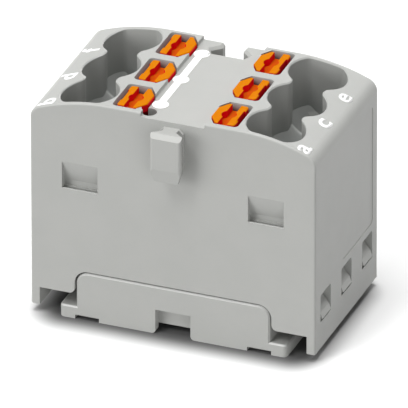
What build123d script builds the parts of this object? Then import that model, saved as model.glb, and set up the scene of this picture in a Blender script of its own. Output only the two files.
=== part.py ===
from build123d import *
from math import cos, radians, sin
import os

# Power distribution block for six push-in conductors, in millimetres.
# X runs along the block, Y across it with the joining peg at -Y, Z up.
# The origin is the middle of the footprint, on the surface that the foot stands on.

# Terminals
pitch = 5.2                 # from one conductor to the next
rows = (-1, 0, 1)           # conductor rows, front to back
conductor_inset = 4.73      # from an end face to the conductors' axes
letters = {1: "ace", -1: "bdf"}  # terminal marks on the right and on the left

# Housing, outside
wing_step = 0.44            # the wings stand higher than the middle of the top
wing_width = 10.54
step_foot_radius = 0.12
arc_width = 7.52            # the part of a wing that falls away
arc_radius = 18.2
shoulder_radius = 1.25      # between the wings and the end faces
corner_radius = 0.2         # the four upright corners
top_edge_radius = 0.19
end_wall = 0.82
long_wall = 0.85
end_foot = 0.72             # underside of the end walls
long_foot = 2.53            # underside of the long walls
foot_edge = 0.12

# Cut-out in the long walls, for the foot's plates
cutout_inset = 4.17         # from an end face
cutout_height = 2.4
cutout_radius = 1.3
cutout_flare = 0.55

# Funnels for the conductors
lobe_lap = 0.05             # by which a lobe reaches past the middle between two conductors
lobe_wall = 0.45            # the end lobes are cut off flat, this far from the long faces
lobe_flat_radius = 0.7
waist_radius = 0.84
funnel_slope = 2.0          # rise over run of the cone
funnel_ridge = 1.47         # the straight walls start this far above the cones' widest circles
well_depth = 4.87           # from the top of a wing to the cones' widest circles
bore_radius = 1.5
bore_height = 2.35
well_rim = 0.11
ridge_radius = 0.25

# Chambers under the housing's solid head
chamber_height = 6.5        # from the current bar to the underside of the head
partition = 0.8             # walls between the chambers
chamber_gap = 0.45          # beside the spring cages
chamber_end_gap = 0.16      # beyond the bar's upturned ends
inner_wall_gap = 1.0        # between the chambers' inner walls and the bar
core_half_x = 1.7           # coring between the two rows of chambers
core_corner = 0.5
core_wall = 0.95            # walls beside the coring
core_end = 2.9
core_roof = 1.38

# Push buttons
button_length = 2.55
button_half = 1.87
button_nose_half = 0.87     # flat part of the side that faces the middle
button_shoulder = 1.88      # from the outer side to where the slanting corners start
button_corner = 0.28
button_edge = 0.06
button_notch = 0.15         # shallow recess on the side that faces the conductor
button_notch_half = 0.92
button_notch_height = 2.92
button_travel = 1.5
button_play = 0.02          # between a stop lug and the guide's underside
slot_inset = 1.145          # screwdriver slot, from the outer side
slot_width = 0.89
slot_depth = 0.68
slot_eye_shift = 0.035
slot_eye_y = -0.1
slot_eye_radius = 0.69
stem_inset = 0.2
stem_half = 1.58            # passes inside the long walls
stem_overlap = 0.2          # the head reaches this far into its guide when pressed down
lug_out = 0.24
lug_half = 1.0
lug_height = 1.1
toe_inset = 0.35            # the toe presses on the spring
toe_half = 1.3
toe_radius = 0.3

# Button pockets in the top
pocket_wall = 0.23          # between a pocket and its well
pocket_outer_gap = 0.36     # beside the button, towards the conductor
pocket_side_gap = 0.27      # beside the button, across
pocket_gap = 0.1            # beside the button, towards the middle
pocket_corner = 0.4
pocket_lead = 1.0           # height of the slanting walls that lead into the guide
guide_gap = 0.07            # running clearance of the guide

# Test hole beside the front left button
test_shift = 0.41           # from the button's inner side, towards the middle
test_inset = 1.15           # from the front face
test_radius = 0.7

# Joining peg on the front
peg_reach = 1.85
peg_drop = 0.5              # below the middle of the top
peg_height = 4.76
peg_face_height = 3.47      # the peg tapers below this
peg_half = 1.48
peg_low_half = 1.12
peg_low_reach = 1.6
peg_neck_half = 0.68
peg_neck_reach = 0.8
peg_flare_reach = 1.42
peg_chamfer = 0.4
peg_corner = 0.3
root_half = 1.12            # collar round the neck, on the housing's face
root_top_half = 0.75
root_low_half = 0.92
root_reach = 0.3
root_slant = 0.38

# Joining socket in the back
mouth_half = 0.98
socket_throat = 0.6         # depth of the mouth's straight part
socket_half = 1.82
socket_wide = 1.4           # depth at which the socket is widest
socket_floor_half = 1.5
socket_depth = 2.08
socket_height = 5.73
socket_lead = 0.24

# Latch recesses in the long walls
recess_inset = 4.71         # from an end face to the recess's middle
recess_width = 3.4
recess_rise = 0.46          # from the underside of the head to the recess's ledge
recess_upright = 0.5
recess_slant = 2.19         # height of the slanting back
recess_depth = 0.8
recess_slit_near = 0.2
recess_slit_far = 0.55
recess_slit_depth = 0.4

# Latch windows in the end walls, with the foot's noses in them
window_half = 1.28
window_low = 3.46
window_height = 2.74
window_corner = 0.3
nose_half = 1.05
nose_gap = 0.26             # between a nose and its window's sill
nose_knee_height = 0.58
nose_knee_depth = 0.1
nose_height = 1.43
nose_top_depth = 0.75
nose_proud = 0.1

# Shallow marking recess in the right end face
mark_near_y = -1.0
mark_edge = 1.2             # from the back face
mark_low = 6.9
mark_top = 3.34             # below the wings
mark_depth = 0.05
mark_corner = 0.55

# Foot
plate_gap = 0.17            # between the foot's plates and the cut-out
plate_thickness = 0.85
plate_edge = 0.15
flange_inset = 2.73         # from the housing's end faces
flange_height = 1.2
flange_lap = 0.3
flange_corner = 0.45
flange_edge = 0.12
groove_width = 2.3
groove_lap = 0.14           # by which a groove reaches past the plate
groove_height = 0.4
notch_half = 1.68
notch_height = 2.42
notch_radius = 0.35
rib_thickness = 0.8         # cross ribs behind the notches
rib_half = 4.6
rib_foot = 0.7
deck_gap = 0.1              # between the deck and the housing's walls
deck_rise = 0.54            # the deck stands higher than the plates
deck_thickness = 1.0
brace_thickness = 0.9
arm_thickness = 0.83
arm_half = 1.4
arm_rise = 1.3              # the latch arms stand higher than the deck
peg_spacing = 8.0           # two pegs on the deck hold the current bar
deck_peg_height = 1.3
deck_peg_gap = 0.08
deck_peg_lead = 0.2

# Current bar, a copper strip bent up at both ends
bar_thickness = 0.8
bar_bend = 0.3              # inside radius of the bends
bar_contact_gap = 1.3       # from a conductor's axis to the contact face of the upturned end
bar_gap = 0.1               # between the bar and the long walls
bar_height = 5.9            # of the upturned ends, above the bar
tongue_width = 3.3
tongue_root = 0.8
tongue_corner = 0.5
bead_height = 3.1           # pressed-in ridge that grips the conductor
bead_radius = 0.2
peg_hole_radius = 0.8

# Clamping springs
leaf_thickness = 0.3
leaf_width = 2.9
leaf_low_radius = 1.2
leaf_high_radius = 1.15
leaf_height = 4.38
leaf_slope = 20.0           # fall of the clamping leg, degrees
leaf_foot_gap = 0.84        # between the leg on the bar and the upturned end
leaf_foot = 5.7             # length of the leg on the bar, to the middle of the back
leaf_tip_gap = 0.22         # between the clamping leg's tip and the upturned end
leaf_tip_width = 2.2
leaf_tip_length = 1.4

# Spring cages
cage_thickness = 0.22
cage_side_gap = 0.05        # between its cheeks and the spring
cage_slack = 0.13           # between its back and the spring
cage_end_gap = 0.44         # between its cheeks and the bar's upturned end
cage_height = 3.6
cage_low_height = 1.5
cage_slant = 3.5            # length of the cheeks' slanting edges
cage_bend = 0.4

# Worked-out places, outwards from the middle
depth = len(rows) * pitch
half_depth = depth / 2
inner_half_y = half_depth - long_wall
leaf_half = leaf_thickness / 2
chamber_inner_x = core_half_x + core_wall
cage_inner_x = chamber_inner_x + chamber_gap
leaf_inner_x = cage_inner_x + cage_thickness + cage_slack + leaf_half
leaf_foot_x = leaf_inner_x + leaf_foot
bar_contact_x = leaf_foot_x + leaf_foot_gap
bar_end_x = bar_contact_x + bar_thickness
chamber_outer_x = bar_end_x + chamber_end_gap
conductor_x = bar_contact_x - bar_contact_gap
half_length = conductor_x + conductor_inset
length = 2 * half_length
inner_half_x = half_length - end_wall
lobe_radius = pitch / 2 + lobe_lap
lobe_flat = half_depth - lobe_wall
pocket_outer_x = conductor_x - lobe_radius - pocket_wall
pocket_half = button_half + pocket_side_gap
button_outer_x = pocket_outer_x - pocket_outer_gap
button_inner_x = button_outer_x - button_length
button_middle_x = (button_inner_x + button_outer_x) / 2
button_cut_x = button_outer_x - button_shoulder
slot_x = button_outer_x - slot_inset
step_x = half_length - wing_width
arc_start_x = half_length - arc_width
bar_half_y = inner_half_y - bar_gap
leaf_tip_x = bar_contact_x - leaf_tip_gap
leaf_turn_x = leaf_inner_x + leaf_high_radius + (leaf_high_radius + leaf_half) * sin(radians(leaf_slope))
leaf_leg = (leaf_tip_x - leaf_turn_x) / cos(radians(leaf_slope))
cage_half = leaf_width / 2 + cage_side_gap
cage_outer_x = bar_contact_x - cage_end_gap
cage_knee_x = cage_outer_x - cage_slant
core_half_y = half_depth - core_end
test_x = test_shift - button_inner_x
test_y = test_inset - half_depth
recess_x = half_length - recess_inset
mark_far_y = half_depth - mark_edge
cutout_half = half_length - cutout_inset
plate_half = cutout_half - plate_gap
flange_half = half_length - flange_inset
groove_far = plate_half + groove_lap
groove_near = groove_far - groove_width
arm_outer_x = inner_half_x - deck_gap
arm_inner_x = arm_outer_x - arm_thickness

# Worked-out heights, from the foot up
cutout_top = long_foot + cutout_height
plate_top = cutout_top - plate_gap
deck_top = plate_top + deck_rise
arm_top = deck_top + arm_rise
window_top = window_low + window_height
nose_low = window_low + nose_gap
nose_knee = nose_low + nose_knee_height
nose_top = nose_low + nose_height
bar_floor = deck_top + bar_thickness
bar_top = bar_floor + bar_height
bead_z = bar_floor + bead_height
leaf_high = bar_floor + leaf_height
cage_high = bar_floor + cage_height
cage_low = bar_floor + cage_low_height
inner_wall_foot = bar_floor + inner_wall_gap
head_underside = bar_floor + chamber_height
funnel_foot = head_underside + bore_height
funnel_z = funnel_foot + (lobe_radius - bore_radius) * funnel_slope
funnel_head = funnel_z + funnel_ridge
funnel_height = funnel_head - funnel_foot
wing_top = funnel_z + well_depth
centre_top = wing_top - wing_step
arch_end = wing_top - arc_radius + (arc_radius**2 - arc_width**2) ** 0.5
core_top = centre_top - core_roof
guide_top = wing_top - pocket_lead
lug_top = head_underside - button_play
lug_foot = lug_top - lug_height
stem_top = head_underside + button_travel + stem_overlap
button_notch_low = wing_top - button_notch_height
peg_top = centre_top - peg_drop
peg_low = peg_top - peg_height
peg_face_low = peg_top - peg_face_height
root_high = peg_top - root_slant
root_foot = peg_low + root_slant
socket_low = centre_top - socket_height
recess_ledge = head_underside + recess_rise
recess_knee = recess_ledge + recess_upright
recess_top = recess_knee + recess_slant
mark_high = wing_top - mark_top

os.makedirs("parts", exist_ok=True)

# Outline of one well: three round lobes that run into each other, cut off flat at both ends
with BuildSketch() as well_outline:
    with Locations(*[(conductor_x, row * pitch) for row in rows]):
        Circle(lobe_radius)
    waists = [v for v in well_outline.vertices() if abs(v.Y) < pitch]
    fillet(waists, radius=waist_radius)
    with Locations((conductor_x, 0)):
        Rectangle(2 * lobe_radius, 2 * lobe_flat, mode=Mode.INTERSECT)
    flat_ends = [v for v in well_outline.vertices() if abs(v.Y) > lobe_flat - 0.001]
    fillet(flat_ends, radius=lobe_flat_radius)

# One well as a solid: straight above, three funnels that meet in rounded ridges, three bores
with BuildPart() as well:
    with Locations(*[(conductor_x, row * pitch, funnel_foot) for row in rows]):
        Cone(
            bore_radius,
            bore_radius + funnel_height / funnel_slope,
            funnel_height,
            align=(Align.CENTER, Align.CENTER, Align.MIN),
        )
    ridges = [e for e in well.edges() if abs(abs(e.center().Y) - pitch / 2) < 0.01]
    fillet(ridges, radius=ridge_radius)
    with BuildSketch(Plane.XY.offset(funnel_foot)):
        add(well_outline.sketch)
    extrude(amount=funnel_height, mode=Mode.INTERSECT)
    with BuildSketch(Plane.XY.offset(funnel_head)):
        add(well_outline.sketch)
    extrude(amount=wing_top - funnel_head + 1)
    with Locations(*[(conductor_x, row * pitch, funnel_foot) for row in rows]):
        Cylinder(
            bore_radius,
            bore_height + 1,
            align=(Align.CENTER, Align.CENTER, Align.MAX),
        )

# Plan of one push button on the right, for the middle row
with BuildSketch() as button_outline:
    with BuildLine():
        Polyline(
            (button_inner_x, -button_nose_half),
            (button_cut_x, -button_half),
            (button_outer_x, -button_half),
            (button_outer_x, button_half),
            (button_cut_x, button_half),
            (button_inner_x, button_nose_half),
            close=True,
        )
    make_face()
    fillet(button_outline.vertices().group_by(Axis.X)[-1], radius=button_corner)

# Plan of its pocket
with BuildSketch() as pocket_outline:
    with BuildLine():
        Polyline(
            (button_inner_x - pocket_gap, -button_nose_half - pocket_gap),
            (button_cut_x, -pocket_half),
            (pocket_outer_x, -pocket_half),
            (pocket_outer_x, pocket_half),
            (button_cut_x, pocket_half),
            (button_inner_x - pocket_gap, button_nose_half + pocket_gap),
            close=True,
        )
    make_face()
    fillet(pocket_outline.vertices().group_by(Axis.X)[-1], radius=pocket_corner)

# One pocket as a solid: a close guide for the button, and slanting walls that lead into it
with BuildPart() as pocket:
    with BuildSketch(Plane.XY.offset(guide_top)) as guide_outline:
        add(button_outline.sketch)
        offset(amount=guide_gap, kind=Kind.INTERSECTION)
    extrude(amount=head_underside - guide_top)
    with BuildSketch(Plane.XY.offset(guide_top)):
        add(button_outline.sketch)
        offset(amount=guide_gap, kind=Kind.INTERSECTION)
    with BuildSketch(Plane.XY.offset(wing_top)):
        add(pocket_outline.sketch)
    loft()
    with BuildSketch(Plane.XY.offset(wing_top)):
        add(pocket_outline.sketch)
    extrude(amount=1)

# The same well and pocket for the left side
with BuildPart() as well_left:
    add(mirror(well.part, about=Plane.YZ, mode=Mode.PRIVATE))

with BuildPart() as pocket_left:
    add(mirror(pocket.part, about=Plane.YZ, mode=Mode.PRIVATE))

# Joining peg
with BuildPart() as joining_peg:
    with BuildSketch(Plane.XY.offset(peg_low)) as dovetail:
        with BuildLine():
            Polyline(
                (-peg_neck_half, -half_depth + 0.5),
                (-peg_neck_half, -half_depth - peg_neck_reach),
                (-peg_half, -half_depth - peg_flare_reach),
                (-peg_half, -half_depth - peg_reach),
                (peg_half, -half_depth - peg_reach),
                (peg_half, -half_depth - peg_flare_reach),
                (peg_neck_half, -half_depth - peg_neck_reach),
                (peg_neck_half, -half_depth + 0.5),
                close=True,
            )
        make_face()
        fillet(dovetail.vertices().group_by(Axis.Y)[0], radius=peg_corner)
    extrude(amount=peg_top - peg_low)
    with BuildSketch(Plane.XZ):
        with BuildLine():
            Polyline(
                (-peg_half, peg_top),
                (-peg_half, peg_face_low),
                (-peg_low_half, peg_low),
                (peg_low_half, peg_low),
                (peg_half, peg_face_low),
                (peg_half, peg_top),
                close=True,
            )
        make_face()
    extrude(amount=2 * half_depth, mode=Mode.INTERSECT)
    with BuildSketch(Plane.YZ):
        with BuildLine():
            Polyline(
                (-half_depth + 1, peg_low),
                (-half_depth - peg_low_reach, peg_low),
                (-half_depth - peg_reach, peg_face_low),
                (-half_depth - peg_reach, peg_top - peg_chamfer),
                (-half_depth - peg_reach + peg_chamfer, peg_top),
                (-half_depth + 1, peg_top),
                close=True,
            )
        make_face()
    extrude(amount=2 * peg_half, both=True, mode=Mode.INTERSECT)
    with BuildSketch(Plane.XZ.offset(half_depth)):
        with BuildLine():
            Polyline(
                (-root_top_half, peg_top),
                (-root_half, root_high),
                (-root_half, peg_face_low),
                (-root_low_half, root_foot),
                (root_low_half, root_foot),
                (root_half, peg_face_low),
                (root_half, root_high),
                (root_top_half, peg_top),
                close=True,
            )
        make_face()
    extrude(amount=root_reach)

# Housing
with BuildPart() as housing:
    # Outside: stepped middle, level wings that fall away in an arc, soft shoulders
    with BuildSketch(Plane.XZ) as section:
        with BuildLine():
            for side in (1, -1):
                Polyline(
                    (0, centre_top),
                    (side * step_x, centre_top),
                    (side * step_x, wing_top),
                    (side * arc_start_x, wing_top),
                )
                RadiusArc(
                    (side * arc_start_x, wing_top),
                    (side * half_length, arch_end),
                    side * arc_radius,
                )
                Polyline(
                    (side * half_length, arch_end),
                    (side * half_length, end_foot),
                    (0, end_foot),
                )
        make_face()
        corners = section.vertices()
        fillet([v for v in corners if abs(v.Y - arch_end) < 0.01], radius=shoulder_radius)
        steps = [v for v in section.vertices() if abs(v.Y - centre_top) < 0.01 and abs(v.X) > 1]
        fillet(steps, radius=step_foot_radius)
    extrude(amount=half_depth, both=True)
    rim = [e for e in housing.edges() if abs(e.center().Y) > half_depth - 0.01]
    fillet([e for e in rim if abs(e.center().X) > step_x + 0.1], radius=top_edge_radius)
    with BuildSketch(Plane.XY.offset(end_foot)):
        RectangleRounded(length, depth, corner_radius)
    extrude(amount=wing_top, mode=Mode.INTERSECT)

    # Hollow below the head; the end walls reach further down than the long walls
    with BuildSketch(Plane.XY.offset(end_foot)):
        Rectangle(2 * inner_half_x, 2 * inner_half_y)
    extrude(amount=head_underside - end_foot, mode=Mode.SUBTRACT)
    with BuildSketch(Plane.XY.offset(end_foot)):
        Rectangle(2 * inner_half_x, depth)
    extrude(amount=long_foot - end_foot, mode=Mode.SUBTRACT)
    low_edges = [
        e for e in housing.edges().filter_by(Axis.X)
        if e.center().Z < end_foot + 0.01 and abs(e.center().X) > inner_half_x
    ]
    chamfer(low_edges, length=foot_edge)

    # Cut-outs in the long walls for the foot's plates
    with BuildSketch(Plane.XZ) as cutout:
        with BuildLine():
            Polyline(
                (-cutout_half - cutout_flare, long_foot - 1),
                (-cutout_half - cutout_flare, long_foot),
                (-cutout_half, long_foot),
                (-cutout_half, cutout_top),
                (cutout_half, cutout_top),
                (cutout_half, long_foot),
                (cutout_half + cutout_flare, long_foot),
                (cutout_half + cutout_flare, long_foot - 1),
                close=True,
            )
        make_face()
        upper = [v for v in cutout.vertices() if v.Y > cutout_top - 0.01]
        fillet(upper, radius=cutout_radius)
        lower = [
            v for v in cutout.vertices()
            if abs(v.Y - long_foot) < 0.01 and abs(abs(v.X) - cutout_half) < 0.01
        ]
        fillet(lower, radius=cutout_flare - 0.001)
    extrude(amount=half_depth, both=True, mode=Mode.SUBTRACT)

    # Walls of the six chambers
    with BuildSketch(Plane.XY.offset(inner_wall_foot)):
        for side in (1, -1):
            with Locations((side * (chamber_outer_x + partition / 2), 0)):
                Rectangle(partition, 2 * inner_half_y)
            with Locations((side * (chamber_inner_x + core_half_x) / 2, 0)):
                Rectangle(chamber_inner_x - core_half_x, 2 * inner_half_y)
            for gap in (-pitch / 2, pitch / 2):
                with Locations((side * (chamber_inner_x + chamber_outer_x) / 2, gap)):
                    Rectangle(chamber_outer_x - chamber_inner_x, partition)
    extrude(amount=head_underside - inner_wall_foot)

    # Coring that keeps the head's walls even
    with BuildSketch(Plane.XY.offset(head_underside)):
        RectangleRounded(2 * core_half_x, 2 * core_half_y, core_corner)
    extrude(amount=core_top - head_underside, mode=Mode.SUBTRACT)

    # Latch recesses in the long walls
    for side in (1, -1):
        for face in (1, -1):
            with BuildSketch(Plane.YZ.offset(side * recess_x)):
                with BuildLine():
                    Polyline(
                        (face * (half_depth + 0.5), recess_top),
                        (face * half_depth, recess_top),
                        (face * (half_depth - recess_depth), recess_knee),
                        (face * (half_depth - recess_depth), recess_ledge),
                        (face * (half_depth - recess_slit_far), recess_ledge),
                        (face * (half_depth - recess_slit_far), recess_ledge - recess_slit_depth),
                        (face * (half_depth - recess_slit_near), recess_ledge - recess_slit_depth),
                        (face * (half_depth - recess_slit_near), recess_ledge),
                        (face * (half_depth + 0.5), recess_ledge),
                        close=True,
                    )
                make_face()
            extrude(amount=recess_width / 2, both=True, mode=Mode.SUBTRACT)

    # Latch windows in the end walls
    with BuildSketch(Plane.YZ) as windows:
        with Locations(*[(row * pitch, (window_low + window_top) / 2) for row in rows]):
            Rectangle(2 * window_half, window_top - window_low)
        fillet([v for v in windows.vertices() if v.Y > window_top - 0.01], radius=window_corner)
    extrude(amount=half_length + 1, both=True, mode=Mode.SUBTRACT)

    # Shallow marking recess in the right end face
    with BuildSketch(Plane.YZ.offset(half_length)):
        with Locations(((mark_near_y + mark_far_y) / 2, (mark_low + mark_high) / 2)):
            RectangleRounded(mark_far_y - mark_near_y, mark_high - mark_low, mark_corner)
    extrude(amount=-mark_depth, mode=Mode.SUBTRACT)

    # Joining peg: a dovetail on a narrow neck, tapered below
    add(joining_peg.part)

    # Joining socket, the same dovetail cut into the back and open above
    with BuildSketch(Plane.XY.offset(socket_low)):
        with BuildLine():
            Polyline(
                (-mouth_half, half_depth + 1),
                (-mouth_half, half_depth - socket_throat),
                (-socket_half, half_depth - socket_wide),
                (-socket_floor_half, half_depth - socket_depth),
                (socket_floor_half, half_depth - socket_depth),
                (socket_half, half_depth - socket_wide),
                (mouth_half, half_depth - socket_throat),
                (mouth_half, half_depth + 1),
                close=True,
            )
        make_face()
    extrude(amount=centre_top - socket_low, mode=Mode.SUBTRACT)
    lead_edges = [
        e for e in housing.edges()
        if abs(e.center().Z - centre_top) < 0.01
        and abs(e.center().X) < socket_half
        and half_depth - socket_depth - 0.1 < e.center().Y < half_depth - 0.01
    ]
    chamfer(lead_edges, length=socket_lead)

    # The two wells
    add(well.part, mode=Mode.SUBTRACT)
    add(well_left.part, mode=Mode.SUBTRACT)
    well_rims = [
        e for e in housing.edges()
        if e.center().Z > arch_end
        and abs(abs(e.center().X) - conductor_x) < lobe_radius + 0.01
        and abs(e.center().Y) < lobe_flat + 0.01
    ]
    chamfer(well_rims, length=well_rim)

    # Button pockets
    with Locations(*[(0, row * pitch, 0) for row in rows]):
        add(pocket.part, mode=Mode.SUBTRACT)
        add(pocket_left.part, mode=Mode.SUBTRACT)

    # Test hole, down to the current bar
    with Locations((test_x, test_y, bar_floor + 1)):
        Cylinder(
            test_radius,
            wing_top - bar_floor,
            align=(Align.CENTER, Align.CENTER, Align.MIN),
            mode=Mode.SUBTRACT,
        )

housing.part.label = "housing"
export_step(housing.part, "parts/housing.step")

# One flange of the foot, on the right
with BuildPart() as flange:
    with BuildSketch() as flange_plan:
        with BuildLine():
            Polyline(
                (plate_half - flange_lap, -half_depth),
                (flange_half, -half_depth),
                (flange_half, half_depth),
                (plate_half - flange_lap, half_depth),
                close=True,
            )
        make_face()
        fillet(flange_plan.vertices().group_by(Axis.X)[-1], radius=flange_corner)
    extrude(amount=flange_height)
    top_rim = [e for e in flange.faces().sort_by(Axis.Z)[-1].edges() if e.center().X > plate_half]
    chamfer(top_rim, length=flange_edge)

# Foot
with BuildPart() as base_foot:
    # A hollow box whose front and back are the plates in the housing's cut-outs
    with BuildSketch(Plane.XZ) as plate:
        with Locations((0, plate_top / 2)):
            Rectangle(2 * plate_half, plate_top)
        top_corners = [v for v in plate.vertices() if v.Y > plate_top - 0.01]
        fillet(top_corners, radius=cutout_radius - plate_gap)
    extrude(amount=half_depth, both=True)
    outline = [
        e for e in base_foot.edges()
        if abs(e.center().Y) > half_depth - 0.01 and e.center().Z > 0.01
    ]
    chamfer(outline, length=plate_edge)
    with BuildSketch():
        Rectangle(2 * (plate_half - plate_thickness), 2 * (half_depth - plate_thickness))
    extrude(amount=deck_top - deck_thickness, mode=Mode.SUBTRACT)

    # Flanges, and the grooves where they meet the plates
    add(flange.part)
    add(mirror(flange.part, about=Plane.YZ, mode=Mode.PRIVATE))
    for side in (1, -1):
        with BuildSketch(Plane.XZ):
            with Locations((side * (groove_near + groove_far) / 2, 0)):
                Rectangle(groove_far - groove_near, 2 * groove_height)
        extrude(amount=half_depth, both=True, mode=Mode.SUBTRACT)

    # Notches in the plates, with a cross rib behind each
    with BuildSketch(Plane.XZ) as notch:
        with BuildLine():
            Polyline(
                (-notch_half - notch_radius, -1),
                (-notch_half - notch_radius, 0),
                (-notch_half, 0),
                (-notch_half, notch_height),
                (notch_half, notch_height),
                (notch_half, 0),
                (notch_half + notch_radius, 0),
                (notch_half + notch_radius, -1),
                close=True,
            )
        make_face()
        lower = [v for v in notch.vertices() if abs(v.Y) < 0.01 and abs(abs(v.X) - notch_half) < 0.01]
        fillet(lower, radius=notch_radius - 0.001)
    extrude(amount=half_depth, both=True, mode=Mode.SUBTRACT)
    for face in (1, -1):
        rib_y = face * (half_depth - plate_thickness - rib_thickness / 2)
        with BuildSketch(Plane.XY.offset(rib_foot)):
            with Locations((0, rib_y)):
                Rectangle(2 * rib_half, rib_thickness)
        extrude(amount=deck_top - deck_thickness - rib_foot)

    # Deck inside the housing, braced beside the plates
    with BuildSketch(Plane.XY.offset(deck_top - deck_thickness)):
        Rectangle(2 * arm_inner_x, 2 * (inner_half_y - deck_gap))
    extrude(amount=deck_thickness)
    with BuildSketch(Plane.XY.offset(flange_height / 2)):
        for side in (1, -1):
            for gap in (-pitch / 2, pitch / 2):
                with Locations((side * (plate_half + flange_half) / 2, gap)):
                    Rectangle(flange_half - plate_half + flange_lap, brace_thickness)
    extrude(amount=deck_top - deck_thickness / 2 - flange_height / 2)

    # Latch arms with their noses
    for side in (1, -1):
        with BuildSketch(Plane.YZ.offset(side * (arm_inner_x + arm_outer_x) / 2)):
            with Locations(*[(row * pitch, (nose_low + arm_top) / 2) for row in rows]):
                Rectangle(2 * arm_half, arm_top - nose_low)
        extrude(amount=arm_thickness / 2, both=True)
        for row in rows:
            with BuildSketch(Plane.XZ.offset(-row * pitch)):
                with BuildLine():
                    Polyline(
                        (side * (arm_outer_x - arm_thickness / 2), nose_low),
                        (side * (half_length + nose_proud), nose_low),
                        (side * (half_length - nose_knee_depth), nose_knee),
                        (side * (half_length - nose_top_depth), nose_top),
                        (side * (arm_outer_x - arm_thickness / 2), nose_top + 0.4),
                        close=True,
                    )
                make_face()
            extrude(amount=nose_half, both=True)

    # Pegs for the current bar
    with Locations((0, peg_spacing / 2, deck_top), (0, -peg_spacing / 2, deck_top)):
        Cylinder(
            peg_hole_radius - deck_peg_gap,
            deck_peg_height,
            align=(Align.CENTER, Align.CENTER, Align.MIN),
        )
    peg_rims = base_foot.edges().filter_by(GeomType.CIRCLE).filter_by(
        lambda e: abs(e.center().Z - deck_top - deck_peg_height) < 0.01
    )
    chamfer(peg_rims, length=deck_peg_lead)

base_foot.part.label = "base_foot"
export_step(base_foot.part, "parts/base_foot.step")

# Current bar
with BuildPart() as current_bar:
    with BuildSketch(Plane.XZ) as channel:
        with Locations((0, (deck_top + bar_top) / 2)):
            Rectangle(2 * bar_end_x, bar_top - deck_top)
        low_corners = [v for v in channel.vertices() if v.Y < deck_top + 0.01]
        fillet(low_corners, radius=bar_bend + bar_thickness)
        with Locations((0, (bar_floor + bar_top) / 2)):
            Rectangle(2 * bar_contact_x, bar_top - bar_floor, mode=Mode.SUBTRACT)
        bends = [
            v for v in channel.vertices()
            if abs(v.Y - bar_floor) < 0.01 and abs(abs(v.X) - bar_contact_x) < 0.01
        ]
        fillet(bends, radius=bar_bend)
    extrude(amount=bar_half_y, both=True)

    # Contact ridges, before the ends are parted into tongues
    with Locations((bar_contact_x, 0, bead_z), (-bar_contact_x, 0, bead_z)):
        Cylinder(bead_radius, 2 * bar_half_y, rotation=(90, 0, 0))
    with BuildSketch(Plane.YZ) as tongues:
        with Locations((0, (deck_top + bar_floor + tongue_root) / 2)):
            Rectangle(2 * bar_half_y, bar_thickness + tongue_root)
        with Locations(*[(row * pitch, (deck_top + bar_top) / 2) for row in rows]):
            Rectangle(tongue_width, bar_top - deck_top)
        tips = [v for v in tongues.vertices() if v.Y > bar_top - 0.01]
        fillet(tips, radius=tongue_corner)
    extrude(amount=bar_end_x + 1, both=True, mode=Mode.INTERSECT)
    with Locations((0, peg_spacing / 2, bar_floor), (0, -peg_spacing / 2, bar_floor)):
        Hole(peg_hole_radius)

current_bar.part.label = "current_bar"
export_step(current_bar.part, "parts/current_bar.step")

# Master of the clamping springs, on the right in the middle row: a flat leg on the bar,
# a loop, and a leg that presses the conductor against the bar's upturned end
with BuildPart() as spring:
    with BuildSketch(Plane.XZ) as leaf:
        with BuildLine():
            flat_leg = Line(
                (leaf_foot_x, bar_floor + leaf_half),
                (leaf_inner_x + leaf_low_radius, bar_floor + leaf_half),
            )
            low_turn = CenterArc(
                (leaf_inner_x + leaf_low_radius, bar_floor + leaf_half + leaf_low_radius),
                leaf_low_radius,
                270,
                -90,
            )
            back = Line(
                low_turn @ 1,
                (leaf_inner_x, leaf_high - leaf_half - leaf_high_radius),
            )
            high_turn = CenterArc(
                (leaf_inner_x + leaf_high_radius, leaf_high - leaf_half - leaf_high_radius),
                leaf_high_radius,
                180,
                -90 - leaf_slope,
            )
            PolarLine(high_turn @ 1, leaf_leg, -leaf_slope)
        trace(line_width=leaf_thickness)
    extrude(amount=leaf_width / 2, both=True)
    with BuildSketch(Plane.XY.offset(leaf_high - 3)):
        for face in (1, -1):
            with BuildLine():
                Polyline(
                    (leaf_tip_x - leaf_tip_length, face * leaf_width / 2),
                    (leaf_tip_x - leaf_tip_length, face * leaf_width),
                    (leaf_tip_x + 1, face * leaf_width),
                    (leaf_tip_x + 1, face * leaf_tip_width / 2),
                    (leaf_tip_x, face * leaf_tip_width / 2),
                    close=True,
                )
            make_face()
    extrude(amount=3, mode=Mode.SUBTRACT)

# Master of the spring cages: a sheet bent to a U around the spring, standing on the bar
with BuildPart() as cage:
    with BuildSketch(Plane.XY.offset(bar_floor)) as sheet:
        with Locations(((cage_inner_x + cage_outer_x) / 2, 0)):
            Rectangle(cage_outer_x - cage_inner_x, 2 * (cage_half + cage_thickness))
        fillet(sheet.vertices().group_by(Axis.X)[0], radius=cage_bend)
        with Locations(((cage_inner_x + cage_outer_x + 2 * cage_thickness) / 2, 0)):
            Rectangle(cage_outer_x - cage_inner_x, 2 * cage_half, mode=Mode.SUBTRACT)
        bends = [v for v in sheet.vertices() if abs(v.X - cage_inner_x - cage_thickness) < 0.001]
        fillet(bends, radius=cage_bend - cage_thickness)
    extrude(amount=cage_high - bar_floor)
    with BuildSketch(Plane.XZ):
        with BuildLine():
            Polyline(
                (cage_knee_x, cage_high),
                (cage_outer_x, cage_low),
                (cage_outer_x + 1, cage_low),
                (cage_outer_x + 1, cage_high + 1),
                (cage_knee_x, cage_high + 1),
                close=True,
            )
        make_face()
    extrude(amount=pitch, both=True, mode=Mode.SUBTRACT)

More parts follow.
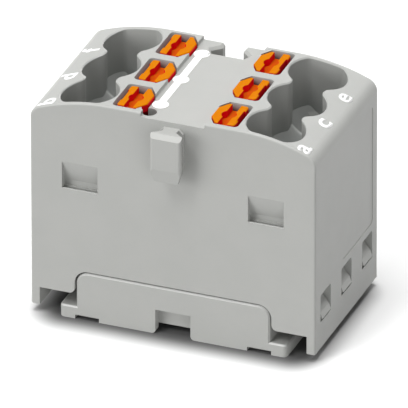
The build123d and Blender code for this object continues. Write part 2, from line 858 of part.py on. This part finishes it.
# Master of the push buttons: head in the pocket, stem with stop lugs, toe on the spring
with BuildPart() as button:
    with BuildSketch(Plane.XY.offset(stem_top)):
        add(button_outline.sketch)
    extrude(amount=wing_top - stem_top)
    chamfer(button.faces().sort_by(Axis.Z)[-1].edges(), length=button_edge)
    with BuildSketch(Plane.XY.offset(wing_top - slot_depth)):
        with Locations((slot_x, 0)):
            Rectangle(slot_width, 3 * button_half)
        with Locations((slot_x - slot_eye_shift, slot_eye_y)):
            Circle(slot_eye_radius)
    extrude(amount=slot_depth, mode=Mode.SUBTRACT)
    with BuildSketch(Plane.XY.offset(button_notch_low)):
        with Locations((button_outer_x, 0)):
            Rectangle(2 * button_notch, 2 * button_notch_half)
    extrude(amount=wing_top - button_notch_low, mode=Mode.SUBTRACT)
    with BuildSketch(Plane.XY.offset(lug_foot)):
        add(button_outline.sketch)
        offset(amount=-stem_inset, kind=Kind.INTERSECTION)
        with Locations((button_middle_x, 0)):
            Rectangle(button_length, 2 * stem_half, mode=Mode.INTERSECT)
    extrude(amount=stem_top - lug_foot)
    with BuildSketch(Plane.XY.offset(lug_foot)):
        with Locations((button_middle_x, 0)):
            Rectangle(button_length + 2 * lug_out, 2 * lug_half)
    extrude(amount=lug_height)
    with BuildSketch(Plane.XY.offset(leaf_high + button_play)):
        with Locations((button_middle_x, 0)):
            Rectangle(button_length - 2 * toe_inset, 2 * toe_half)
    extrude(amount=lug_foot - leaf_high - button_play)
    toe_edges = button.faces().sort_by(Axis.Z)[0].edges().filter_by(Axis.Y)
    fillet(toe_edges, radius=toe_radius)

# The six terminals' pieces, turned over to the left side where they belong there
for side in (1, -1):
    for row, letter in zip(rows, letters[side]):
        with BuildPart() as push_button:
            with Locations((0, row * pitch, 0)):
                add(button.part)
            if side < 0:
                mirror(about=Plane.YZ, mode=Mode.REPLACE)
        push_button.part.label = f"push_button_{letter}"
        export_step(push_button.part, f"parts/push_button_{letter}.step")

        with BuildPart() as clamping_spring:
            with Locations((0, row * pitch, 0)):
                add(spring.part)
            if side < 0:
                mirror(about=Plane.YZ, mode=Mode.REPLACE)
        clamping_spring.part.label = f"clamping_spring_{letter}"
        export_step(clamping_spring.part, f"parts/clamping_spring_{letter}.step")

        with BuildPart() as spring_cage:
            with Locations((0, row * pitch, 0)):
                add(cage.part)
            if side < 0:
                mirror(about=Plane.YZ, mode=Mode.REPLACE)
        spring_cage.part.label = f"spring_cage_{letter}"
        export_step(spring_cage.part, f"parts/spring_cage_{letter}.step")
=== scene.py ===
import math
import bpy
from mathutils import Matrix, Vector


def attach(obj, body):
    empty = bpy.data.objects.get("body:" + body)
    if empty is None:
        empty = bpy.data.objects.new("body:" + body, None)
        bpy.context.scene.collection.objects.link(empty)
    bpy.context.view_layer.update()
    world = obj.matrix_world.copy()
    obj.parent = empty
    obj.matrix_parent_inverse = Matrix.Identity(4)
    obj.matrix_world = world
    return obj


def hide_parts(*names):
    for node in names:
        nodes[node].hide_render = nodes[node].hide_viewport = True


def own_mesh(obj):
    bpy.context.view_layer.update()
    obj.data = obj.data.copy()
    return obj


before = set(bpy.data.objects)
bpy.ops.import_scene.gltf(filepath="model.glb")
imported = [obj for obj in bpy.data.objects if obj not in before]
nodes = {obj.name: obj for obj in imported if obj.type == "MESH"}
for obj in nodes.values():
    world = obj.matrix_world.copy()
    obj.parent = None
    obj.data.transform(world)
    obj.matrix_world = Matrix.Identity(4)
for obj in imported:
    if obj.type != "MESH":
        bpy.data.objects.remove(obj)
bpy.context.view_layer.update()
mm = 0.001


def pick(obj):
    bpy.ops.object.select_all(action="DESELECT")
    obj.select_set(True)
    bpy.context.view_layer.objects.active = obj


def applyPlace(obj):
    pick(obj)
    bpy.ops.object.transform_apply(location=True, rotation=True, scale=True)


def addModifier(obj, kind, settings):
    pick(obj)
    modifier = obj.modifiers.new(kind.lower(), kind)
    for key, value in settings.items():
        setattr(modifier, key, value)
    bpy.ops.object.modifier_apply(modifier=modifier.name)


# ---- shader maths: a socket that takes part in Python expressions, and the tree of nodes that it belongs to
class Wire:
    def __init__(self, tree, socket):
        self.tree = tree
        self.socket = socket

    def math(self, operation, other, swap=False):
        first, second = (other, self) if swap else (self, other)
        return self.tree.node("ShaderNodeMath", {"operation": operation}, {0: first, 1: second})

    def __add__(self, other):
        return self.math("ADD", other)

    def __radd__(self, other):
        return self.math("ADD", other, True)

    def __sub__(self, other):
        return self.math("SUBTRACT", other)

    def __rsub__(self, other):
        return self.math("SUBTRACT", other, True)

    def __mul__(self, other):
        return self.math("MULTIPLY", other)

    def __rmul__(self, other):
        return self.math("MULTIPLY", other, True)

    def __abs__(self):
        return self.tree.node("ShaderNodeMath", {"operation": "ABSOLUTE"}, {0: self})


class NodeTree:
    def __init__(self, owner, outputKind):
        self.owner = owner
        owner.use_nodes = True
        self.nodes = owner.node_tree.nodes
        self.links = owner.node_tree.links
        self.nodes.clear()
        self.output = self.nodes.new(outputKind)

    def node(self, kind, settings=None, values=None, out=0):
        made = self.nodes.new(kind)
        for key, value in (settings or {}).items():
            setattr(made, key, value)
        for key, value in (values or {}).items():
            if isinstance(value, Wire):
                self.links.new(value.socket, made.inputs[key])
            else:
                made.inputs[key].default_value = value
        return Wire(self, made.outputs[out])

    def place(self):
        return self.node("ShaderNodeTexCoord", out="Object")

    def axis(self, letter):
        return self.node("ShaderNodeSeparateXYZ", {}, {0: self.place()}, out=letter)

    def facingUp(self):
        normal = self.node("ShaderNodeTexCoord", out="Normal")
        return self.node("ShaderNodeSeparateXYZ", {}, {0: normal}, out="Z")

    def seen(self):
        # 1 for what the camera, a gloss or clear glass sees, 0 for the light that is thrown on other things
        camera = self.node("ShaderNodeLightPath", out="Is Camera Ray")
        glossy = self.node("ShaderNodeLightPath", out="Is Glossy Ray")
        clear = self.node("ShaderNodeLightPath", out="Is Transmission Ray")
        return (camera + glossy + clear).math("MINIMUM", 1.0)

    def noise(self, size, detail, roughness, place=None):
        return self.node("ShaderNodeTexNoise", {}, {
            "Vector": place or self.place(),
            "Scale": 1.0 / (size * mm),
            "Detail": detail,
            "Roughness": roughness,
        })

    def smooth(self, value, low, high, toLow=0.0, toHigh=1.0):
        return self.node(
            "ShaderNodeMapRange", {"interpolation_type": "SMOOTHSTEP"},
            {"Value": value, "From Min": low, "From Max": high, "To Min": toLow, "To Max": toHigh},
        )

    def above(self, value, edge, soft):
        return self.smooth(value, edge * mm, (edge + soft) * mm)

    def below(self, value, edge, soft):
        return self.smooth(value, edge * mm, (edge + soft) * mm, toLow=1.0, toHigh=0.0)

    def mixColour(self, amount, low, high):
        colours = {6: low, 7: high}
        for key, value in colours.items():
            if not isinstance(value, Wire):
                colours[key] = (*value, 1.0)
        return self.node(
            "ShaderNodeMix", {"data_type": "RGBA"}, {0: amount, 6: colours[6], 7: colours[7]}, out=2
        )

    def bump(self, height, distance, strength):
        return self.node(
            "ShaderNodeBump", {}, {"Height": height, "Distance": distance * mm, "Strength": strength}
        )

    def surface(self, shader):
        self.links.new(shader.socket, self.output.inputs["Surface"])
        return self.owner

    def principled(self, values):
        return self.surface(self.node("ShaderNodeBsdfPrincipled", {}, values))


def newFinish(name):
    return NodeTree(bpy.data.materials.new(name), "ShaderNodeOutputMaterial")


def dress(obj, material):
    if not obj.material_slots:
        obj.data.materials.append(material)
    for slot in obj.material_slots:
        slot.material = material


# ---- moulded grey plastic: fine spark-eroded grain, faint flow clouding, slightly uneven gloss
greyPlastic = {
    "colour": (0.441, 0.445, 0.428),
    "cloud": (0.430, 0.435, 0.418),
    "cloudSize": 4.0,
    "speckSize": 0.25,
    "speckTone": 0.93,
    "speckAmount": 0.12,
    "grainSize": 0.09,
    "grainDepth": 0.004,
    "grainStrength": 0.25,
    "roughness": 0.38,
    "roughnessSpread": 0.08,
    "grainRoughness": 0.05,
    "glossSize": 1.4,
    "ior": 1.5,
    "specular": 0.25,
}

# painted shade: the walls of the wells and the button pockets are painted darker with depth, on both sides
# of the middle
paintedWellShade = {
    "x": (6.1, 11.7),
    "y": 7.72,
    "soft": 0.02,
    "depth": (15.5, 20.0),
    "lower": (0.33, 0.34, 0.33),
    "upper": greyPlastic["colour"],
    "mouth": (19.5, 0.5),  # its height, and how softly the shade starts there
    "latchBack": (6.9, 0.05),
    "latchTop": (16.6, 0.2),
}
# painted shade in the button pockets, going near black at their foot
paintedPocketShade = {
    "x": (3.18, 6.02),
    "y": 7.4,
    "soft": 0.02,
    "depth": (21.2, 21.87),
    "lower": (0.040, 0.043, 0.041),
    "upper": (0.37, 0.40, 0.385),
    "wall": (0.5, 0.8),  # how far a face may look up and still count as wall
}
# painted highlight: thin level ledges at the long faces are painted lighter, as if they caught more light
paintedLipHighlight = {
    "x": (11.5, 0.1),
    "y": (7.58, 0.05),
    "top": (17.0, 0.2),
    "level": (0.3, 0.7),
    "colour": (0.56, 0.565, 0.55),
}


def overArea(f, s):
    along, across = abs(f.axis("X")), abs(f.axis("Y"))
    low, high = s["x"]
    between = f.above(along, low - s["soft"], s["soft"]) * f.below(along, high, s["soft"])
    return between * f.below(across, s["y"], s["soft"])


def paintedShadeByDepth(f, s):
    low, high = s["depth"]
    return f.mixColour(f.smooth(f.axis("Z"), low * mm, high * mm), s["lower"], s["upper"])


def paintWellShade(f, colour, s):
    # painted shade on level faces too, but not in the latch recesses in the long faces
    latch = f.above(abs(f.axis("Y")), *s["latchBack"]) * f.below(f.axis("Z"), *s["latchTop"])
    inside = overArea(f, s) * f.below(f.axis("Z"), *s["mouth"]) * (1.0 - latch)
    return f.mixColour(inside, colour, paintedShadeByDepth(f, s))


def paintPocketShade(f, colour, s):
    # painted shade on the pocket walls only, darker with depth
    walls = f.smooth(f.facingUp(), *s["wall"], toLow=1.0, toHigh=0.0)
    return f.mixColour(overArea(f, s) * walls, colour, paintedShadeByDepth(f, s))


def paintLipHighlight(f, colour, s):
    # painted highlight on level faces near the long faces, below the top
    lip = f.smooth(f.facingUp(), *s["level"]) * f.above(abs(f.axis("Y")), *s["y"])
    lip = lip * f.below(f.axis("Z"), *s["top"]) * f.below(abs(f.axis("X")), *s["x"])
    return f.mixColour(lip, colour, s["colour"])


def makeGreyPlastic(name, s, paintedLight):
    f = newFinish(name)
    cloud = f.noise(s["cloudSize"], detail=3.0, roughness=0.55)
    grain = f.noise(s["grainSize"], detail=2.0, roughness=0.6)
    gloss = f.noise(s["glossSize"], detail=2.0, roughness=0.5)
    speck = f.noise(s["speckSize"], detail=1.0, roughness=0.5)
    speckColour = tuple(c * s["speckTone"] for c in s["colour"])
    colour = f.mixColour(f.smooth(cloud, low=0.35, high=0.65), s["colour"], s["cloud"])
    colour = f.mixColour(f.smooth(speck, low=0.3, high=0.8, toHigh=s["speckAmount"]), colour, speckColour)
    # painted shade and painted highlight, laid over the plastic's own colour
    for paint, settings in paintedLight:
        colour = paint(f, colour, settings)
    unevenGloss = (gloss - 0.5) * s["roughnessSpread"] + (grain - 0.5) * s["grainRoughness"]
    return f.principled({
        "Base Color": colour,
        "Roughness": s["roughness"] + unevenGloss,
        "Normal": f.bump(grain, s["grainDepth"], s["grainStrength"]),
        "IOR": s["ior"],
        "Specular IOR Level": s["specular"],
    })


# ---- button plastic: orange where it faces up, with painted shade: red down its sides, near black lower down them, darker in the slot
orangePlastic = {
    "top": (0.64, 0.197, 0.0),
    "side": (0.80, 0.007, 0.017),
    "deepShadedSide": (0.12, 0.002, 0.003),
    "shadedSlotFloor": (0.56, 0.086, 0.004),
    "topHeight": 22.12,
    "topStarts": (0.55, 0.25),  # depths below the top height between which one colour turns into the next
    "sideStarts": (0.85, 0.6),
    "upward": (0.25, 0.8),
    "cloudSize": 0.8,
    "cloudAmount": 0.06,
    "grainSize": 0.07,
    "grainDepth": 0.003,
    "grainStrength": 0.2,
    "roughness": 0.38,
    "cloudRoughness": 0.1,
    "grainRoughness": 0.06,
    "ior": 1.45,
    "specular": 0.012,
}


def makeOrangePlastic(name, s):
    f = newFinish(name)
    cloud = f.noise(s["cloudSize"], detail=2.0, roughness=0.5)
    grain = f.noise(s["grainSize"], detail=2.0, roughness=0.6)
    # painted shade by depth: the slot floor and the lower sides are painted darker below the top
    raised, sunken = (
        f.smooth(f.axis("Z"), *((s["topHeight"] - below) * mm for below in s[key]))
        for key in ("topStarts", "sideStarts")
    )
    level = f.mixColour(raised, s["shadedSlotFloor"], s["top"])
    upright = f.mixColour(sunken, s["deepShadedSide"], s["side"])
    # painted light and shade by facing: faces that look up keep the orange, faces that look sideways get the
    # red of painted shade
    colour = f.mixColour(f.smooth(f.facingUp(), *s["upward"]), upright, level)
    colour = f.mixColour(f.smooth(cloud, low=0.35, high=0.75, toHigh=s["cloudAmount"]), colour, s["side"])
    unevenGloss = (cloud - 0.5) * s["cloudRoughness"] + (grain - 0.5) * s["grainRoughness"]
    return f.principled({
        "Base Color": colour,
        "Roughness": s["roughness"] + unevenGloss,
        "Normal": f.bump(grain, s["grainDepth"], s["grainStrength"]),
        "IOR": s["ior"],
        "Specular IOR Level": s["specular"],
    })


# ---- rolled metals: fine lines along the strip, small stains
rolledMetal = {
    "lineSize": 0.5,
    "lineDepth": 0.004,
    "lineStrength": 0.3,
    "lineAmount": 0.25,
    "lineRoughness": 0.25,
    "stainSize": 1.6,
    "stainRoughness": 0.1,
}
springSteel = {
    "colour": (0.56, 0.56, 0.55), "dull": (0.40, 0.39, 0.37), "roughness": 0.28, "stretch": (0.5, 6.0, 0.5),
}
cageSteel = {
    "colour": (0.66, 0.65, 0.62), "dull": (0.50, 0.49, 0.46), "roughness": 0.36, "stretch": (0.5, 6.0, 6.0),
}
barCopper = {
    "colour": (0.80, 0.40, 0.25), "dull": (0.52, 0.25, 0.16), "roughness": 0.34, "stretch": (0.4, 7.0, 7.0),
}


def makeRolledMetal(name, metal):
    s = {**rolledMetal, **metal}
    f = newFinish(name)
    stretched = f.node("ShaderNodeMapping", {}, {"Vector": f.place(), "Scale": s["stretch"]})
    lines = f.noise(s["lineSize"], detail=3.0, roughness=0.6, place=stretched)
    stain = f.noise(s["stainSize"], detail=4.0, roughness=0.6)
    colour = f.mixColour(f.smooth(stain, low=0.45, high=0.75), s["colour"], s["dull"])
    colour = f.mixColour(f.smooth(lines, low=0.3, high=0.7, toHigh=s["lineAmount"]), colour, s["dull"])
    unevenGloss = (lines - 0.5) * s["lineRoughness"] + (stain - 0.5) * s["stainRoughness"]
    return f.principled({
        "Base Color": colour,
        "Metallic": 1.0,
        "Roughness": s["roughness"] + unevenGloss,
        "Normal": f.bump(lines, s["lineDepth"], s["lineStrength"]),
    })


# ---- printed white: opaque ink, thinner in patches
printInk = {
    "colour": (0.95, 0.95, 0.945),
    "thin": (0.88, 0.885, 0.875),
    "patchSize": 0.3,
    "grainSize": 0.06,
    "grainDepth": 0.002,
    "grainStrength": 0.2,
    "roughness": 0.5,
    "roughnessSpread": 0.2,
}


def makePrintInk(name, s):
    f = newFinish(name)
    patch = f.noise(s["patchSize"], detail=2.0, roughness=0.6)
    grain = f.noise(s["grainSize"], detail=1.0, roughness=0.5)
    return f.principled({
        "Base Color": f.mixColour(f.smooth(patch, low=0.5, high=0.85), s["colour"], s["thin"]),
        "Roughness": s["roughness"] + (patch - 0.5) * s["roughnessSpread"],
        "Normal": f.bump(grain, s["grainDepth"], s["grainStrength"]),
    })


# the housing gets painted shade in its wells and pockets and a painted highlight on its ledges; the foot
# gets only the painted highlight
housingPaintedLight = ((paintWellShade, paintedWellShade), (paintPocketShade, paintedPocketShade), (paintLipHighlight, paintedLipHighlight))
housingFinish = makeGreyPlastic("housingFinish", greyPlastic, housingPaintedLight)
footFinish = makeGreyPlastic("footFinish", {**greyPlastic, "cloudSize": 3.2}, ((paintLipHighlight, paintedLipHighlight),))
buttonFinish = makeOrangePlastic("buttonFinish", orangePlastic)
springFinish = makeRolledMetal("springFinish", springSteel)
cageFinish = makeRolledMetal("cageFinish", cageSteel)
barFinish = makeRolledMetal("barFinish", barCopper)
inkFinish = makePrintInk("inkFinish", printInk)

finishes = {
    "housing": housingFinish,
    "base_foot": footFinish,
    "current_bar": barFinish,
    "push_button": buttonFinish,
    "clamping_spring": springFinish,
    "spring_cage": cageFinish,
}
for name, obj in nodes.items():
    for start, finish in finishes.items():
        if name.startswith(start):
            dress(obj, finish)
print("stage: finishes on", len(nodes), "nodes")

# ---- springs: each stands for its CAD node, which is hidden, as a merged and smoothed copy that rides with the block
springGive = {"foot": 6.1, "buttonEnd": 10.5, "travel": 1.5, "merge": 0.0002, "smoothAngle": 30.0}


def makeSpring(letter, s):
    node = nodes[f"clamping_spring_{letter}"]
    spring = bpy.data.objects.new(f"bent_spring_{letter}", node.data.copy())
    bpy.context.collection.objects.link(spring)
    spring.matrix_world = node.matrix_world
    applyPlace(spring)
    bpy.ops.mesh.customdata_custom_splitnormals_clear()
    bpy.ops.object.mode_set(mode="EDIT")
    bpy.ops.mesh.select_all(action="SELECT")
    bpy.ops.mesh.remove_doubles(threshold=s["merge"] * mm)
    bpy.ops.mesh.select_all(action="DESELECT")
    bpy.ops.object.mode_set(mode="OBJECT")
    bpy.ops.object.shade_smooth_by_angle(angle=math.radians(s["smoothAngle"]))
    dress(spring, springFinish)
    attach(spring, "block")
    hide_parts(f"clamping_spring_{letter}")
    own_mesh(spring)


for letter in "abcdef":
    makeSpring(letter, springGive)
print("stage: springs")

# ---- printed marks
markSheet = {"above": 26.0, "lift": 0.012, "thickness": 0.02, "step": 0.15, "curveSteps": 6}


def layOnHousing(obj, lowX, highX):
    # cut into narrow strips, dropped onto the curved top and given the ink's thickness
    pick(obj)
    bpy.ops.object.mode_set(mode="EDIT")
    x = lowX + markSheet["step"]
    while x < highX:
        bpy.ops.mesh.select_all(action="SELECT")
        bpy.ops.mesh.bisect(plane_co=(x * mm, 0, 0), plane_no=(1, 0, 0))
        x += markSheet["step"]
    bpy.ops.mesh.select_all(action="DESELECT")
    bpy.ops.object.mode_set(mode="OBJECT")
    addModifier(obj, "SHRINKWRAP", {
        "target": nodes["housing"],
        "wrap_method": "PROJECT",
        "use_project_z": True,
        "use_negative_direction": True,
        "use_positive_direction": False,
        "offset": (markSheet["lift"] + markSheet["thickness"]) * mm,
    })
    addModifier(obj, "SOLIDIFY", {"thickness": markSheet["thickness"] * mm, "offset": -1.0})
    dress(obj, inkFinish)
    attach(obj, "block")


letterPrint = {
    # letter: lowest X, highest X, lowest Y, highest Y, boldness; each letter's head points to -X
    "a": (11.66, 12.86, -7.62, -6.42, 0.018),
    "c": (11.66, 12.86, -2.58, -1.38, 0.026),
    "e": (11.66, 12.86, 2.50, 3.70, 0.018),
    "b": (-13.02, -11.42, -7.62, -6.36, 0.032),
    "d": (-13.02, -11.42, -2.68, -1.42, 0.032),
    "f": (-13.02, -11.26, 2.86, 3.74, 0.034),
}

for letter, (lowX, highX, lowY, highY, boldness) in letterPrint.items():
    bpy.ops.object.text_add(location=(0, 0, 0), rotation=(0, 0, math.pi / 2))
    text = bpy.context.object
    text.data.body = letter
    text.data.offset = boldness
    text.data.resolution_u = markSheet["curveSteps"]
    pick(text)
    bpy.ops.object.convert(target="MESH")
    mark = bpy.context.object
    mark.name = f"letter_{letter}"
    applyPlace(mark)
    corners = [v.co for v in mark.data.vertices]
    low = Vector((min(c.x for c in corners), min(c.y for c in corners)))
    high = Vector((max(c.x for c in corners), max(c.y for c in corners)))
    scaleX = (highX - lowX) * mm / (high.x - low.x)
    scaleY = (highY - lowY) * mm / (high.y - low.y)
    mark.scale = (scaleX, scaleY, 1.0)
    mark.location = (lowX * mm - low.x * scaleX, lowY * mm - low.y * scaleY, markSheet["above"] * mm)
    applyPlace(mark)
    layOnHousing(mark, lowX, highX)
print("stage: letters", ", ".join(letterPrint))

bridgeSign = {
    "dotX": -2.2, "dotRadius": 0.75, "dotSides": 48, "dotsY": (-5.03, -0.02, 5.13), "barX": (-2.6, -1.9),
    "reach": (-2.95, -1.45), "block": 0.2,
}


def makeBridgeSign(s):
    (lowX, highX), lowY, highY = s["barX"], s["dotsY"][0], s["dotsY"][-1]
    bpy.ops.mesh.primitive_plane_add(size=1.0, location=((lowX + highX) / 2 * mm, 0, 0))
    sign = bpy.context.object
    sign.name = "bridge_sign"
    sign.scale = ((highX - lowX) * mm, (highY - lowY) * mm, 1.0)
    sign.location.y = (lowY + highY) / 2 * mm
    applyPlace(sign)
    addModifier(sign, "SOLIDIFY", {"thickness": s["block"] * mm, "offset": 0.0})
    for y in s["dotsY"]:
        bpy.ops.mesh.primitive_cylinder_add(
            vertices=s["dotSides"], radius=s["dotRadius"] * mm, depth=s["block"] * mm,
            location=(s["dotX"] * mm, y * mm, 0),
        )
        dot = bpy.context.object
        applyPlace(dot)
        addModifier(sign, "BOOLEAN", {"operation": "UNION", "solver": "EXACT", "object": dot})
        bpy.data.objects.remove(dot, do_unlink=True)

    # only the upper face is kept, as the sheet that is laid on the top
    pick(sign)
    bpy.ops.object.mode_set(mode="EDIT")
    bpy.ops.mesh.select_all(action="DESELECT")
    bpy.ops.object.mode_set(mode="OBJECT")
    for polygon in sign.data.polygons:
        polygon.select = polygon.normal.z < 0.5
    bpy.ops.object.mode_set(mode="EDIT")
    bpy.ops.mesh.select_mode(type="FACE")
    bpy.ops.mesh.delete(type="FACE")
    bpy.ops.object.mode_set(mode="OBJECT")
    sign.location.z = markSheet["above"] * mm
    applyPlace(sign)
    layOnHousing(sign, *s["reach"])


makeBridgeSign(bridgeSign)
print("stage: bridge sign")

# ---- camera at the photograph's viewpoint
camera = {
    "azimuth": 21.2016, "elevation": 28.7341, "roll": -0.0816,
    "target": (0.0, 0.0, 11.0), "side": -0.0264, "up": -1.3214, "distance": 1690.6,
    "lens": 1673.27, "sensor": 36.0, "clip": (0.1, 20.0),
}


def makeCamera(s):
    azimuth, elevation, roll = (math.radians(s[k]) for k in ("azimuth", "elevation", "roll"))
    level = math.cos(elevation)
    back = Vector((math.sin(azimuth) * level, -math.cos(azimuth) * level, math.sin(elevation)))
    side = Vector((math.cos(azimuth), math.sin(azimuth), 0))
    up = back.cross(side)
    right = math.cos(roll) * side + math.sin(roll) * up
    top = -math.sin(roll) * side + math.cos(roll) * up
    eye = Vector(s["target"]) + s["side"] * right + s["up"] * top + s["distance"] * back
    data = bpy.data.cameras.new("studioCamera")
    data.lens = s["lens"]
    data.sensor_width = s["sensor"]
    data.clip_start, data.clip_end = s["clip"]
    obj = bpy.data.objects.new("studioCamera", data)
    bpy.context.collection.objects.link(obj)
    turn = Matrix((right, top, back)).transposed().to_4x4()
    obj.matrix_world = Matrix.Translation(eye * mm) @ turn
    bpy.context.scene.camera = obj


makeCamera(camera)
bpy.context.scene.view_settings.view_transform = "Standard"
print("stage: camera")

# ---- light: one broad lamp overhead, one above the front, and low lamps that stay out of the wells
lamps = {
    # name: (light on a surface that faces it, where it comes from, how wide it is in degrees)
    "overheadLamp": (0.81, (0.0, 0.0, 1.0), 34.0),
    "leftFrontLamp": (0.515, (-0.69, -0.69, 0.21), 40.0),
    "rightFrontLamp": (0.235, (0.69, -0.69, 0.21), 40.0),
    "highFrontLamp": (0.30, (-0.30, -0.50, 0.81), 20.0),
    "backLamp": (0.40, (0.0, 0.98, 0.21), 40.0),
}

# the world is white to look at and throws no light of its own
world = bpy.data.worlds.new("studioWorld")
bpy.context.scene.world = world
sky = NodeTree(world, "ShaderNodeOutputWorld")
sky.surface(sky.node("ShaderNodeBackground", {}, {"Color": (1.0, 1.0, 1.0, 1.0), "Strength": sky.seen()}))

for name, (strength, source, angle) in lamps.items():
    lamp = bpy.data.lights.new(name, "SUN")
    lamp.energy = strength * math.pi
    lamp.angle = math.radians(angle)
    lampObj = bpy.data.objects.new(name, lamp)
    bpy.context.collection.objects.link(lampObj)
    lampObj.matrix_world = Vector(source).to_track_quat("Z", "Y").to_matrix().to_4x4()
print("stage: world and", len(lamps), "lamps")

# ---- floor: a plain white sheet, with a soft painted contact shadow under and round the block
floorSheet = {"size": 1.2, "seen": 1.0, "thrown": 0.58}
paintedContactShadow = {"x": (-13.0, 13.8), "y": (-9.45, 7.7), "corner": 2.8, "blur": 1.75, "darkest": 0.13}


def shadeRoundBlock(f, s):
    # the painted contact shadow: 1 inside a rectangle with round corners, fading to 0 outside it
    past = []
    for key in "xy":
        low, high = s[key]
        fromMiddle = abs(f.axis(key.upper()) - (low + high) / 2 * mm)
        past.append((fromMiddle - ((high - low) / 2 - s["corner"]) * mm).math("MAXIMUM", 0.0))
    outside = (past[0] * past[0] + past[1] * past[1]).math("POWER", 0.5) - s["corner"] * mm
    return f.smooth(outside, -s["blur"] * mm, s["blur"] * mm, toLow=1.0, toHigh=0.0)


def makeFloor(s, shade):
    bpy.ops.object.select_all(action="DESELECT")
    bpy.ops.mesh.primitive_plane_add(size=s["size"], location=(0, 0, 0))
    floor = bpy.context.object
    floor.name = "floor"
    f = newFinish("floorPaper")
    # the painted contact shadow, which only the camera sees
    paintedShadow = shadeRoundBlock(f, shade) * f.node("ShaderNodeLightPath", out="Is Camera Ray")
    white, dark, thrown = (
        [tone] * 3 for tone in (s["seen"], s["seen"] * shade["darkest"], s["thrown"])
    )
    paper = f.node("ShaderNodeBsdfDiffuse", {}, {"Color": f.mixColour(paintedShadow, white, dark)})
    dim = f.node("ShaderNodeBsdfDiffuse", {}, {"Color": (*thrown, 1.0)})
    dress(floor, f.surface(f.node("ShaderNodeMixShader", {}, {0: f.seen(), 1: dim, 2: paper})))


makeFloor(floorSheet, paintedContactShadow)
print("stage: floor")
